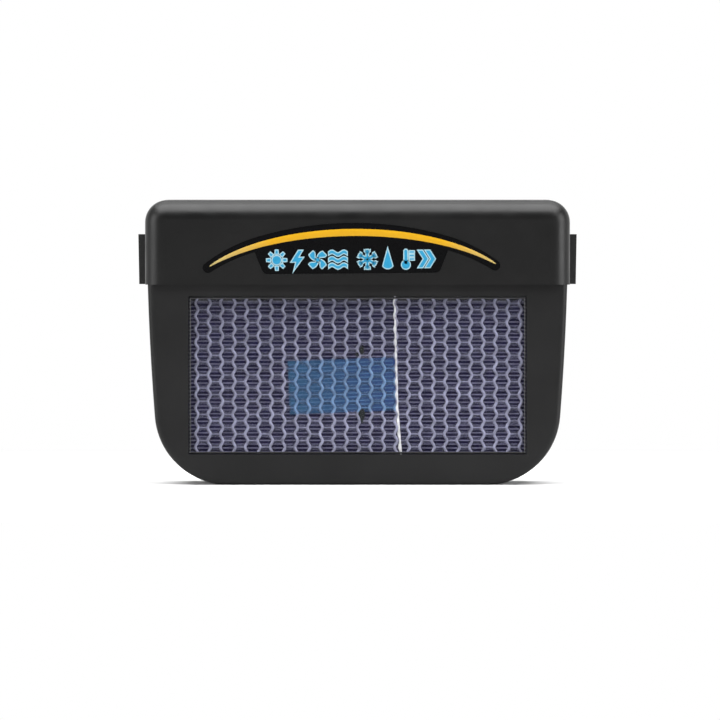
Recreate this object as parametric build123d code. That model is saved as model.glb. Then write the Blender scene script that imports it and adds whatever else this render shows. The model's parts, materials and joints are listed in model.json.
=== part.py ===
"""Solar car-window ventilator: a fan unit that hangs over the top edge of a door glass.

Millimetres, +Z up. The outdoor side with the solar window faces -Y, and the cabin side with the
fan faces +Y. The origin is at the middle of the base. A front body and a rear body hang on either
side of the glass slot, and a hood joins them over the top. The fan draws cabin air in at the rear,
the hood carries it over the glass, and it leaves through the grille under the front body.
"""
from build123d import *

import os
from math import cos, radians, sin, sqrt

# ---------------------------------------------------------------- casings
WALL = 2.0                 # moulded walls of the hood and the bodies
FACE = 2.2                 # front and rear faces
BODY_TOP = 87.3            # top of both bodies, lower edge of the hood
BODY_HALF_TOP = 91.5       # half width of the bodies at their top
SIDE_BOW_R = 1184.0        # radius of their bowed sides
SIDE_BOW_Z = 121.6         # height at which those arcs would stand upright
BODY_CORNER = 32.1         # radius of the two lower corners
FRONT_RIM = 2.4            # rounding of the front cover's rim
REAR_RIM = 4.0             # rounding of the rear cover's rim
HOOD_HALF = 92.7           # half width of the hood
HOOD_TOP = 124.2
HOOD_CORNER = 9.7          # radius of the hood's two upper corners, seen from the front
HOOD_EDGE = 8.4            # rounding of the hood's front and rear rims
HALF_DEPTH = 40.0
FRONT_OVERHANG = 2.0       # how far the hood's front stands out over the window's frame
REAR_OVERHANG = 1.0

FRONT_Y = -HALF_DEPTH + FRONT_OVERHANG # outer face of the front cover
FRONT_SEAM_Y = -32.0                   # where the front cover meets the main body
SLOT_Y = (-15.0, -8.0)                 # the gap that the door glass fills
SLOT_MID = sum(SLOT_Y) / 2
REAR_SEAM_Y = 14.0                     # where the rear cover meets the main body
REAR_Y = HALF_DEPTH - REAR_OVERHANG    # outer face of the rear cover
HOOD_INNER_Y = HALF_DEPTH - WALL

LIP = 1.0                  # locating lip inside each seam
LIP_GAP = 0.15
LIP_REACH = 2.0
TONGUE_Z = (84.4, 96.0)    # the tongues that the covers put up inside the hood
TONGUE_HALF = 78.0
TONGUE = 2.0
FRONT_TONGUE_Y = FRONT_SEAM_Y - 0.6    # inner face of the front cover's tongue
REAR_TONGUE_Y = 33.6                   # inner face of the rear cover's tongue

COLLAR_OUT = HOOD_HALF - WALL - 0.4    # outer face of the collar that the hood slips over
COLLAR = 1.5
COLLAR_RISE = 6.0
CATCH_Y = (-26.0, 6.0)     # the hood's catches, two on each side
CATCH_HALF_Y = 3.0
CATCH_Z = (89.5, 91.0)
CATCH_DEEP = 1.1
CATCH_PLAY = 0.3

CHANNEL_OUT = (95.5, 95.9) # outer edge of the weather-strip channels, at their foot and top
CHANNEL_IN = 86.4
CHANNEL_WALL = 1.5
CHANNEL_HALF_Y = 4.0
CHANNEL_Z = (87.4, 109.2)
CHANNEL_PLAY = 0.2         # round the channels where they pass through the hood
CHANNEL_FOOT_Z = (97.0, 99.0)
CHANNEL_SCREW_X = 76.0
CHANNEL_POST_R = 2.8

OUTLET_HALF_X = 48.0       # the air's way out, under the front body
OUTLET_Y = (-28.8, -18.6)
OUTLET_BARS = 16
OUTLET_SLOT_HALF = 1.7     # half width of each gap between the bars
OUTLET_RIM = 1.5
OUTLET_PLAY = 0.2
GRILLE_FLANGE = 1.4        # how far the grille's inner flange reaches past its opening
GRILLE_FLANGE_THICK = 1.0

# ---------------------------------------------------------------- badge
BADGE_X = -1.8             # the badge sits slightly off the middle
BADGE_TURN = 0.5           # degrees, because it is stuck on by hand
BADGE_TIP = (62.6, 95.2)   # the pointed end of the stripe, measured from the badge's middle
BADGE_APEX = (109.5, 112.0)            # lower and upper edge of the stripe at its middle
BADGE_KNEE = (40.0, 0.33)  # where either edge bends more tightly: its x, and the share of the fall
BADGE_BORDER = 2.2
BADGE_FOOT = (38.3, 92.3)  # the small plate under the stripe: its lower and upper corners
BADGE_SHOULDER = (42.6, 103.2)
BADGE_FOOT_R = 2.6
BADGE_THICK = 0.4
BADGE_RECESS = 0.5
BADGE_PLAY = 0.15

# ---------------------------------------------------------------- solar window
WINDOW_HALF_X = 73.7
WINDOW_Z = (13.3, 82.2)
WINDOW_MID_Z = sum(WINDOW_Z) / 2
WINDOW_HALF_Z = (WINDOW_Z[1] - WINDOW_Z[0]) / 2
LENS_RECESS = 1.0          # the lens lies this far behind the front face
LENS_PLAY = 0.15
LENS_FLANGE = 1.8          # the lens's flange beyond the opening
SHEET = 1.2                # thickness of the lens flange and of the gasket
GASKET_INSIDE = 0.6        # the gasket's inner edge lies this far outside the opening
BOARD = 1.6
BOARD_Y = (FRONT_Y + FACE + 2 * SHEET, FRONT_Y + FACE + 2 * SHEET + BOARD)
EAR_X = (74.0, 83.2)       # the board's screw ears
EAR_HALF_Z = 4.0
CELL = 0.3
CELL_BEYOND = 0.4          # how far the dark cells run past the opening
RIBBON = 0.9               # width of the silver ribbon, which drifts to the right as it goes down
RIBBON_LINE = [(19.2, 11.0), (17.3, 34.0), (16.3, 84.0)]
RIBBON_PROUD = 0.15
BLUE_CELL = (48.0, 23.2)   # width and height
BLUE_CELL_PLACE = (-6.0, 43.2)
BLUE_CELL_TURN = 2.2       # degrees, because it is laid by hand
CELL_LEADS = [(1.9, 58.4), (2.2, 28.6)]
CELL_LEAD = (2.2, 1.8)     # a black lead end: its straight length and its width
CELL_LEAD_THICK = 0.5

# ---------------------------------------------------------------- fan and motor
FAN_Z = 43.5               # height of the fan's axis
SHROUD_R = 33.0
SHROUD_WALL = 1.8
IMPELLER_R = 31.4
HUB_R = 10.5
HUB_WALL = 1.6
HUB_CORE_R = 3.0
HUB_FACE = 3.0
BLADES = 7
BLADE_THICK = 1.5
BLADE_STATIONS = [(HUB_R - 1.5, 9.0, 46.0), (21.0, 11.5, 34.0), (IMPELLER_R, 13.5, 27.0)]
IMPELLER_Y = (24.0, 34.0)
SHAFT_R = 1.0
RUNNING_GAP = 0.03

GUARD_R = 36.3             # the guard's flange, which sits in a step of the rear cover
GUARD_FLANGE = 1.5
GUARD_BARS = 2.3           # depth of the guard's rings and spokes
GUARD_HUB_R = 6.5
GUARD_RINGS = (11.4, 16.6, 21.8, 27.0)
GUARD_RING_HALF = 0.8
GUARD_SPOKES = 8
GUARD_SPOKE_HALF = 0.9

CAN_R = 12.2               # a flat 24.4 mm direct-current motor
CAN_Y = (7.0, 19.4)
CAN_WALL = 1.0
CAN_BOSS_R = 3.5
CAN_BOSS = 1.5
CAP_THICK = 1.6            # the plastic plug in the can's mouth
CAP_BOSS_R = 3.4
FRONT_BEARING_R = 2.5
REAR_BEARING_R = 2.2
MAGNET_IN_R = 8.7
MAGNET_IN_X = 4.2
COMMUTATOR_R = 2.3
COMMUTATOR_Y = (CAN_Y[0] + 1.8, CAN_Y[0] + 3.7)
COMMUTATOR_CUT = 0.3
SLEEVE = 0.5               # insulation between the shaft and the commutator
BRUSH = 0.3
BRUSH_X = COMMUTATOR_R + 0.05 + BRUSH / 2
BRUSH_Y = (CAN_Y[0] + 2.0, CAN_Y[0] + 3.4)
BRUSH_FOOT_Z = (FAN_Z + 4.6, FAN_Z + 6.2)
TERMINALS = [(-4.6, FAN_Z + 6.4), (4.6, FAN_Z + 6.4)]
TERMINAL = (2.2, 0.8)      # width and thickness of the solder tabs
TERMINAL_OUT = 3.4         # how far they stand out of the motor
CORE_Y = (11.9, 16.3)      # the armature's stack of laminations
CORE_R = 2.9
POLE_R = 7.9
SHOE = 1.3
ARM = 2.2                  # width of each pole's arm
COIL_HALF_X = 2.7
COIL_OVER = 1.0            # how far the coils bulge past the stack
COIL_Z = (FAN_Z + 3.3, FAN_Z + POLE_R - 2.1)
SPACER_R = 1.9

BRACKET_R = 39.0           # the motor bracket's three screws lie on this radius
BRACKET_ANGLES = (0, 120, 240)
BRACKET_PLATE = 3.4
BRACKET_WALL = 1.85
BRACKET_Y = CAN_Y[1] + 1.6 # the bracket's face towards the fan
BRACKET_EYE_R = 4.2
BRACKET_ARM_HALF = 3.2
BRACKET_RIB_HALF = 0.8
BRACKET_RIB = 3.6

# ---------------------------------------------------------------- fasteners, places as (x, z)
REAR_SCREWS = [(-76.0, 74.0), (76.0, 74.0), (-60.0, 15.0), (60.0, 15.0)]
COVER_SCREWS = [(-60.0, 92.0), (60.0, 92.0)]
BOARD_SCREWS = [(-79.3, 31.0), (79.3, 31.0), (-79.3, 72.0), (79.3, 72.0)]
BRACKET_SCREWS = [
    (BRACKET_R * sin(radians(a)), FAN_Z + BRACKET_R * cos(radians(a))) for a in BRACKET_ANGLES
]
FACE_SCREWS = [(-6.5, FAN_Z), (6.5, FAN_Z)]
SCREW_R = 1.1              # the small self-tapping screws
PILOT_R = 1.15
CLEARANCE_R = 1.35
REAR_SCREW_R = 1.45        # the longer ones that hold the rear cover
REAR_PILOT_R = 1.5
REAR_CLEARANCE_R = 1.65
REAR_SINK_R = 3.1          # the deep counterbores in the rear cover
REAR_SINK_FLOOR = REAR_SEAM_Y + 4.0
REAR_SCREW_TIP_Y = 4.0
FACE_SCREW_R = 0.98
CHANNEL_SCREW_R = 1.0

# ---------------------------------------------------------------- wiring
LEAD_R = 0.7
PAD_R = 1.6
PAD = 0.6
PADS = [(9.0, 74.0), (12.4, 68.0)]     # where the leads leave the board's back
ROOF_RUN_Z = 90.4          # height of the leads over the slot's roof
CLIP_X = (6.2, 10.5, 14.8) # the ribs on the roof that keep the leads apart
CLIP_HALF_X = 0.6
CLIP_Y = (-13.5, -9.5)
CLIP_TOP = 92.5
RED_LEAD_X = 8.35
BLACK_LEAD_X = 12.65
LEAD_BENDS = [2.6, 3.2, 5.0, 4.0, 4.0, 2.4]


# ---------------------------------------------------------------- helpers
def prism(sketch, y_from, y_to):
    """A sketch drawn in x and z, made solid from one y to another."""
    return extrude(Plane.XZ.offset(-y_from) * sketch, amount=-(y_to - y_from))


def rod(place, radius, y_from, y_to):
    """A round bar along Y at (x, z)."""
    return prism(Pos(*place) * Circle(radius), y_from, y_to)


def ring(place, outer, inner, y_from, y_to):
    """A tube along Y at (x, z)."""
    return prism(Pos(*place) * (Circle(outer) - Circle(inner)), y_from, y_to)


def block(x, y, z):
    """A box from three (low, high) ranges."""
    size = [high - low for low, high in (x, y, z)]
    middle = [(high + low) / 2 for low, high in (x, y, z)]
    return Pos(*middle) * Box(*size)


def around(middle, half):
    """The (low, high) range about a middle."""
    return (middle - half, middle + half)


def mirrored(shape):
    """A shape with its copy on the other side of x = 0."""
    return shape + mirror(shape, about=Plane.YZ)


def pair(shape):
    """A shape and its copy on the other side of x = 0, apart."""
    return [shape, mirror(shape, about=Plane.YZ)]


def about_axis(shape, degrees):
    """A shape turned about the fan's axis."""
    return shape.rotate(Axis((0, 0, FAN_Z), (0, 1, 0)), degrees)


def numbered(name, shapes):
    """Nodes for pieces that repeat: name_1, name_2 and so on."""
    return {f"{name}_{i}": shape for i, shape in enumerate(shapes, 1)}


def edges_at_y(shape, y):
    """The edges that lie in the plane at this y."""
    return [e for e in shape.edges() if abs(e.center().Y - y) < 0.01]


def half_width(z, inset=0.0):
    """The bodies' half width at a height, drawn inside by inset: their sides are bowed arcs."""
    middle_x = BODY_HALF_TOP - sqrt(SIDE_BOW_R**2 - (SIDE_BOW_Z - BODY_TOP) ** 2)
    return middle_x + sqrt((SIDE_BOW_R - inset) ** 2 - (SIDE_BOW_Z - z) ** 2)


def body_outline(inset=0.0, top=BODY_TOP):
    """The bodies' shape from the front: bowed sides and round lower corners, inside by inset."""
    right = [(half_width(z, inset), z) for z in (top, (top + inset) / 2, inset)]
    left = [(-x, z) for x, z in reversed(right)]
    face = make_face([
        ThreePointArc(*right),
        Line(right[2], left[0]),
        ThreePointArc(*left),
        Line(left[2], right[0]),
    ])
    corners = [v for v in face.vertices() if abs(v.Y - inset) < 0.01]
    return fillet(corners, BODY_CORNER - inset)


def cavity(inset, y_from, y_to):
    """The inside of a body, open at the top."""
    return prism(body_outline(inset, top=BODY_TOP + 20), y_from, y_to)


def lip(y_seam, direction):
    """The locating lip that a body puts inside its cover, with its root on the body's own wall."""
    y_tip = y_seam + direction * LIP_REACH
    y_root = y_seam - direction * LIP_REACH * 0.75
    outer = WALL + LIP_GAP
    inner = cavity(outer + LIP, min(y_tip, y_root) - 1, max(y_tip, y_root) + 1)
    tip = prism(body_outline(outer), min(y_seam, y_tip), max(y_seam, y_tip))
    root = prism(body_outline(WALL / 2), min(y_seam, y_root), max(y_seam, y_root))
    return (tip + root) - inner


def rounded_rim(tray, y_face, radius):
    """Rounds a tray's outer rim on one face, leaving the straight edge under the hood sharp."""
    rim = [
        e for e in edges_at_y(tray, y_face)
        if not (abs((e @ 0).Z - BODY_TOP) < 0.01 and abs((e @ 1).Z - BODY_TOP) < 0.01)
    ]
    return fillet(rim, radius)


def tongue(y_face, y_inner):
    """The strip that a cover puts up inside the hood, with its foot on the cover's face."""
    low, high = TONGUE_Z
    x = around(0, TONGUE_HALF)
    y_outer = y_inner + (TONGUE if y_face > y_inner else -TONGUE)
    upright = block(x, sorted((y_inner, y_outer)), (low, high))
    foot = block(x, sorted((y_inner, y_face)), (low, BODY_TOP))
    return upright + foot


def screw(place, y_seat, y_tip, radius, head_radius, head):
    """A cross-head screw along Y whose head sits on y_seat and whose point is at y_tip."""
    way = 1 if y_seat > y_tip else -1
    y_top = y_seat + way * head
    shank = rod(place, radius, min(y_seat, y_tip), max(y_seat, y_tip))
    cap = rod(place, head_radius, min(y_seat, y_top), max(y_seat, y_top))
    cap = fillet(edges_at_y(cap, y_top), head * 0.45)
    x, z = place
    deep = sorted((y_top, y_top - way * head * 0.55))
    long, thin = head_radius * 0.55, head_radius * 0.14
    for half_x, half_z in ((long, thin), (thin, long)):
        cap -= block(around(x, half_x), deep, around(z, half_z))
    return shank + cap


# ---------------------------------------------------------------- hood and badge
def badge_arch(apex):
    """One edge of the badge's stripe: a wide arc that runs into a tighter one at each side."""
    knee_x, share = BADGE_KNEE
    fall = share * (apex - BADGE_TIP[1])
    radius = (knee_x**2 + fall**2) / (2 * fall)
    knee = (knee_x, apex - fall)
    crown = ThreePointArc((-knee_x, apex - fall), (0, apex), knee)
    side = TangentArc(knee, BADGE_TIP, tangent=(radius - fall, -knee_x))
    return [crown, side, mirror(side, Plane.YZ)]


def badge_outline(grow=0.0):
    """The badge: an arched stripe's black border, and the small plate below it."""
    low, high = BADGE_APEX
    stripe = make_face(badge_arch(low) + badge_arch(high))
    border = offset(stripe, amount=BADGE_BORDER + grow, kind=Kind.ARC)
    foot_x, foot_z = BADGE_FOOT
    shoulder_x, shoulder_z = BADGE_SHOULDER
    plate = make_face(Polyline(
        (-foot_x, foot_z), (foot_x, foot_z), (shoulder_x, shoulder_z), (0, high),
        (-shoulder_x, shoulder_z), close=True,
    ))
    plate = fillet([v for v in plate.vertices() if abs(v.Y - foot_z) < 0.01], BADGE_FOOT_R)
    if grow:
        plate = offset(plate, amount=grow, kind=Kind.ARC)
    return Pos(BADGE_X, 0) * Rot(0, 0, BADGE_TURN) * (border + plate)


def badge():
    y = -HALF_DEPTH + BADGE_RECESS
    return prism(badge_outline(), y - BADGE_THICK, y)


def hood_block(less, low, half_depth):
    """The hood's outer form, or its hollow: smaller by less, from low up, rims rounded."""
    top = HOOD_TOP - less
    box = Pos(0, (low + top) / 2) * Rectangle(2 * (HOOD_HALF - less), top - low)
    upper = [v for v in box.vertices() if v.Y > (low + top) / 2]
    form = prism(fillet(upper, HOOD_CORNER - less), -half_depth, half_depth)
    for face_y in (-half_depth, half_depth):
        rim = [e for e in edges_at_y(form, face_y) if e.center().Z > low + 0.1]
        form = fillet(rim, HOOD_EDGE - less)
    return form


def hood():
    """The cap over both bodies: rounded rims, open below, notched for the strip channels."""
    cap = hood_block(0, BODY_TOP, HALF_DEPTH) - hood_block(WALL, BODY_TOP - 5, HOOD_INNER_Y)
    cap -= mirrored(block(
        (HOOD_HALF - 6, HOOD_HALF + 2),
        around(SLOT_MID, CHANNEL_HALF_Y + CHANNEL_PLAY),
        (BODY_TOP - 1, CHANNEL_Z[1] + CHANNEL_PLAY),
    ))
    cap -= prism(badge_outline(BADGE_PLAY), -HALF_DEPTH - 1, -HALF_DEPTH + BADGE_RECESS)
    catch_x = HOOD_HALF - WALL
    for y in CATCH_Y:
        cap += mirrored(block(
            (catch_x - CATCH_DEEP, catch_x + WALL / 4), around(y, CATCH_HALF_Y), CATCH_Z
        ))
    return cap


# ---------------------------------------------------------------- bodies
def front_cover():
    """The outdoor face: the window's frame, with its board bosses, and a tongue under the hood."""
    inner_y = FRONT_Y + FACE
    tray = prism(body_outline(), FRONT_Y, FRONT_SEAM_Y)
    tray = rounded_rim(tray, FRONT_Y, FRONT_RIM)
    tray -= cavity(WALL, inner_y, FRONT_SEAM_Y)
    tray -= prism(window_plate(0), FRONT_Y - 1, inner_y + 1)
    tray += tongue(inner_y, FRONT_TONGUE_Y)
    for place in COVER_SCREWS:
        tray -= rod(place, CLEARANCE_R, FRONT_TONGUE_Y - TONGUE - 1, FRONT_TONGUE_Y + 1)
    for place in BOARD_SCREWS:
        tray += rod(place, 2.9, inner_y - 0.5, BOARD_Y[0])
        tray -= rod(place, PILOT_R, inner_y, BOARD_Y[0])
    return tray


def body_shell(y_from, y_to, wall_from, wall_to):
    """One half of the main body: a tray open at one end, closed by its wall beside the slot."""
    inside = (wall_to, y_to) if wall_from == y_from else (y_from, wall_from)
    return prism(body_outline(), y_from, y_to) - cavity(WALL, *inside)


def collar():
    """The collar on one side that the hood slips over, with windows for the hood's catches."""
    sides = (COLLAR_OUT - 10, COLLAR_OUT + 10)
    rim = block(
        (COLLAR_OUT - COLLAR, COLLAR_OUT), (FRONT_SEAM_Y + 1, REAR_SEAM_Y - 1),
        (BODY_TOP - 3, BODY_TOP + COLLAR_RISE),
    )
    rim -= block(sides, SLOT_Y, (BODY_TOP - 4, BODY_TOP + COLLAR_RISE + 1))
    rim -= block(
        sides, around(SLOT_MID, CHANNEL_HALF_Y + CHANNEL_PLAY),
        (BODY_TOP, BODY_TOP + COLLAR_RISE + 1),
    )
    for y in CATCH_Y:
        rim -= block(
            sides, around(y, CATCH_HALF_Y + CATCH_PLAY),
            (CATCH_Z[0] - CATCH_PLAY, CATCH_Z[1] + CATCH_PLAY),
        )
    return rim


def channel_post():
    """The screw post on the slot's roof under a weather-strip channel's foot, on the +X side."""
    foot, top = BODY_TOP + WALL / 2, CHANNEL_FOOT_Z[0]
    post = Pos(0, 0, (foot + top) / 2) * Cylinder(CHANNEL_POST_R, top - foot)
    post -= Pos(0, 0, top - 3) * Cylinder(CHANNEL_SCREW_R + 0.05, 7)
    return Pos(CHANNEL_SCREW_X, SLOT_MID, 0) * post


def main_body():
    """The saddle moulding: a tray on each side of the glass slot, joined by the slot's roof."""
    body = body_shell(FRONT_SEAM_Y, SLOT_Y[0], SLOT_Y[0] - WALL, SLOT_Y[0])
    body += body_shell(SLOT_Y[1], REAR_SEAM_Y, SLOT_Y[1], SLOT_Y[1] + WALL)
    body += block(
        around(0, CHANNEL_IN - CHANNEL_PLAY), (SLOT_Y[0] - WALL, SLOT_Y[1] + WALL),
        (BODY_TOP, BODY_TOP + WALL),
    )
    body += lip(FRONT_SEAM_Y, -1)
    body += lip(REAR_SEAM_Y, 1)
    body += mirrored(collar())
    body -= block(around(0, OUTLET_HALF_X), OUTLET_Y, (-1, WALL + 2))
    for place in REAR_SCREWS:
        body += rod(place, 4.0, SLOT_Y[1] + WALL / 2, REAR_SEAM_Y)
        body -= rod(place, REAR_PILOT_R, REAR_SCREW_TIP_Y - 2, REAR_SEAM_Y + 1)
    for x, z in COVER_SCREWS:
        body += block(around(x, 6), (SLOT_Y[0] - WALL, SLOT_Y[0]), (BODY_TOP - 1, z + 5))
        body += rod((x, z), 3.2, FRONT_TONGUE_Y, SLOT_Y[0] - WALL / 2)
        body -= rod((x, z), PILOT_R, FRONT_TONGUE_Y - 1, FRONT_TONGUE_Y + 10)
    body += mirrored(channel_post())
    for x in CLIP_X:
        body += block(around(x, CLIP_HALF_X), CLIP_Y, (BODY_TOP + WALL / 2, CLIP_TOP))
    return body


def rear_cover():
    """The cabin face: the fan's opening and shroud, screw towers and a tongue under the hood."""
    inner_y = REAR_Y - FACE
    centre = (0, FAN_Z)
    tray = prism(body_outline(), REAR_SEAM_Y, REAR_Y)
    tray = rounded_rim(tray, REAR_Y, REAR_RIM)
    tray -= cavity(WALL, REAR_SEAM_Y, inner_y)
    tray += tongue(inner_y, REAR_TONGUE_Y)
    tray += rod(centre, SHROUD_R + SHROUD_WALL, IMPELLER_Y[0] - 1, inner_y + 0.5)
    for place in BRACKET_SCREWS:
        tray += rod(place, 3.2, BRACKET_Y, inner_y + 0.5)
        tray -= rod(place, PILOT_R, BRACKET_Y - 1, BRACKET_Y + 12)
    for place in REAR_SCREWS:
        tray += rod(place, 4.2, REAR_SEAM_Y, inner_y + 0.5)
        tray -= rod(place, REAR_SINK_R, REAR_SINK_FLOOR, REAR_Y + 1)
        tray -= rod(place, REAR_CLEARANCE_R, REAR_SEAM_Y - 1, REAR_SINK_FLOOR + 1)
    tray -= rod(centre, SHROUD_R, IMPELLER_Y[0] - 3, REAR_Y + 1)
    tray -= rod(centre, GUARD_R + 0.2, REAR_Y - GUARD_FLANGE - 0.1, REAR_Y + 1)
    return tray


def outlet_grille():
    """The snap-in grille under the front body, its bars across the air's way out."""
    half_x = OUTLET_HALF_X - OUTLET_PLAY
    y = (OUTLET_Y[0] + OUTLET_PLAY, OUTLET_Y[1] - OUTLET_PLAY)
    frame = block(around(0, half_x), y, (0, WALL))
    frame += block(
        around(0, half_x + GRILLE_FLANGE), (y[0] - 1.2, y[1] + 1.2),
        (WALL, WALL + GRILLE_FLANGE_THICK),
    )
    pitch = 2 * (half_x - OUTLET_RIM) / OUTLET_BARS
    for i in range(OUTLET_BARS):
        x = -half_x + OUTLET_RIM + pitch * (i + 0.5)
        frame -= block(
            around(x, OUTLET_SLOT_HALF), (y[0] + OUTLET_RIM, y[1] - OUTLET_RIM), (-1, WALL + 2)
        )
    return frame


def strip_channel():
    """The channel at the +X end of the slot's roof that holds the end of a weather strip."""
    y = around(SLOT_MID, CHANNEL_HALF_Y)
    groove = (y[0] + CHANNEL_WALL, y[1] - CHANNEL_WALL)
    low, high = CHANNEL_Z
    side = make_face(Polyline(
        (CHANNEL_IN, low), (CHANNEL_OUT[0], low), (CHANNEL_OUT[1], high), (CHANNEL_IN, high),
        close=True,
    ))
    channel = prism(side, *y)
    channel -= block((CHANNEL_IN + CHANNEL_WALL, CHANNEL_OUT[1] + 1), groove, (low - 1, high + 1))
    foot = block((CHANNEL_SCREW_X - 4, CHANNEL_IN + 0.5), groove, CHANNEL_FOOT_Z)
    foot -= Pos(CHANNEL_SCREW_X, SLOT_MID, sum(CHANNEL_FOOT_Z) / 2) * Cylinder(CLEARANCE_R, 5)
    return channel + foot


def channel_screw():
    """The screw that holds a strip channel's foot down on its post, on the +X side."""
    upright = screw((0, 0), 0, -8.5, CHANNEL_SCREW_R, 2.3, 1.5)
    return Pos(CHANNEL_SCREW_X, SLOT_MID, CHANNEL_FOOT_Z[1]) * Rot(90, 0, 0) * upright


# ---------------------------------------------------------------- solar window
def window_plate(margin):
    """The window's rectangle, larger by margin on every side."""
    return Pos(0, WINDOW_MID_Z) * Rectangle(
        2 * (WINDOW_HALF_X + margin), 2 * (WINDOW_HALF_Z + margin)
    )


def window_lens():
    """The clear cover: a raised middle in the opening and a flange behind the frame."""
    inner_y = FRONT_Y + FACE
    raised = prism(window_plate(-LENS_PLAY), FRONT_Y + LENS_RECESS, inner_y)
    return raised + prism(window_plate(LENS_FLANGE), inner_y, inner_y + SHEET)


def window_gasket():
    y = FRONT_Y + FACE + SHEET
    return prism(window_plate(LENS_FLANGE) - window_plate(GASKET_INSIDE), y, y + SHEET)


def panel_board():
    """The laminate that carries the cells, with four screw ears."""
    board = prism(window_plate(LENS_FLANGE), *BOARD_Y)
    for x, z in BOARD_SCREWS:
        ear = block(EAR_X, BOARD_Y, around(z, EAR_HALF_Z))
        board += ear if x > 0 else mirror(ear, about=Plane.YZ)
    for place in BOARD_SCREWS:
        board -= rod(place, CLEARANCE_R, BOARD_Y[0] - 1, BOARD_Y[1] + 1)
    return board


def beside_ribbon(gap, far_x, margin=0.0):
    """The window's area, grown by margin, on one side of the ribbon's line: from gap to far_x."""
    line = [(x + gap, z) for x, z in RIBBON_LINE]
    corners = [(far_x, line[-1][1]), (far_x, line[0][1])]
    return make_face(Polyline(*line, *corners, close=True)) & window_plate(margin)


def dark_cells():
    """The two dark cells that fill the board, one on each side of the ribbon."""
    y = BOARD_Y[0]
    gap = RIBBON / 2 + 0.05
    sides = [beside_ribbon(-gap, -80, CELL_BEYOND), beside_ribbon(gap, 80, CELL_BEYOND)]
    return [prism(side, y - CELL, y) for side in sides]


def bus_ribbon():
    """The tinned ribbon between the dark cells."""
    y = BOARD_Y[0]
    strip = beside_ribbon(-RIBBON / 2, 80) & beside_ribbon(RIBBON / 2, -80)
    return prism(strip, y - CELL - RIBBON_PROUD, y)


def blue_cell():
    """The small blue cell on top of the dark ones, its end cut along the ribbon."""
    y = BOARD_Y[0] - CELL
    sheet = Pos(*BLUE_CELL_PLACE) * Rot(0, 0, BLUE_CELL_TURN) * Rectangle(*BLUE_CELL)
    return prism(sheet & beside_ribbon(-RIBBON / 2 - 0.1, -80), y - CELL, y)


def cell_leads():
    """The two black lead ends just above and below the blue cell, laid on the dark cell."""
    y = BOARD_Y[0] - CELL
    stub = SlotCenterToCenter(*CELL_LEAD, rotation=90)
    return [prism(Pos(*place) * stub, y - CELL_LEAD_THICK, y) for place in CELL_LEADS]


# ---------------------------------------------------------------- motor
def motor_can():
    """The drawn steel cup, closed towards the fan, with a boss for the front bearing."""
    centre = (0, FAN_Z)
    can = rod(centre, CAN_R, *CAN_Y)
    can = fillet(edges_at_y(can, CAN_Y[1]), 0.8)
    can += rod(centre, CAN_BOSS_R, CAN_Y[1] - 0.5, CAN_Y[1] + CAN_BOSS)
    can -= rod(centre, CAN_R - CAN_WALL, CAN_Y[0] - 1, CAN_Y[1] - CAN_WALL)
    can -= rod(centre, FRONT_BEARING_R, CAN_Y[0], CAN_Y[1] + 3)
    for place in FACE_SCREWS:
        can -= rod(place, FACE_SCREW_R + 0.02, CAN_Y[1] - 2, CAN_Y[1] + 1)
    return can


def motor_end_cap():
    """The plastic plug in the can's mouth that holds the rear bearing, brushes and tabs."""
    centre = (0, FAN_Z)
    through = (CAN_Y[0] - 1, CAN_Y[0] + 3)
    cap = rod(centre, CAN_R - CAN_WALL, CAN_Y[0], CAN_Y[0] + CAP_THICK)
    cap += rod(centre, CAP_BOSS_R, CAN_Y[0] - CAP_THICK, CAN_Y[0] + 0.5)
    cap -= rod(centre, REAR_BEARING_R, CAN_Y[0] - 3, CAN_Y[0] + 3)
    for x, z in TERMINALS:
        cap -= block(around(x, TERMINAL[0] / 2), through, around(z, TERMINAL[1] / 2))
    cap -= mirrored(block(around(BRUSH_X, BRUSH / 2), through, BRUSH_FOOT_Z))
    return cap


def front_bearing():
    return ring(
        (0, FAN_Z), FRONT_BEARING_R, SHAFT_R + RUNNING_GAP, CAN_Y[1] - 1.8, CAN_Y[1] + CAN_BOSS
    )


def rear_bearing():
    return ring(
        (0, FAN_Z), REAR_BEARING_R, SHAFT_R + RUNNING_GAP, CAN_Y[0] - CAP_THICK, CAN_Y[0] + 1.2
    )


def motor_magnets():
    """Two ferrite arcs against the can's wall."""
    centre = (0, FAN_Z)
    hoop = ring(centre, CAN_R - CAN_WALL - 0.05, MAGNET_IN_R, CAN_Y[0] + 4, CAN_Y[1] - 1.8)
    return pair(hoop & block((MAGNET_IN_X, CAN_R), CAN_Y, around(FAN_Z, CAN_R)))


def motor_brushes():
    """Two spring-copper leaves, one on each side of the commutator."""
    width = around(BRUSH_X, BRUSH / 2)
    leaf = block(width, BRUSH_Y, (FAN_Z - 3.2, BRUSH_FOOT_Z[1]))
    leaf += block(width, (CAN_Y[0] + 0.4, BRUSH_Y[1]), BRUSH_FOOT_Z)
    return pair(leaf)


def motor_terminals():
    """The two solder tabs behind the end cap."""
    y = (CAN_Y[0] - TERMINAL_OUT, CAN_Y[0] + CAP_THICK)
    return [
        block(around(x, TERMINAL[0] / 2), y, around(z, TERMINAL[1] / 2)) for x, z in TERMINALS
    ]


def motor_shaft():
    shaft = rod((0, FAN_Z), SHAFT_R, CAN_Y[0] - 1.4, IMPELLER_Y[1] - 1.5)
    return chamfer(shaft.edges(), 0.15)


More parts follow.
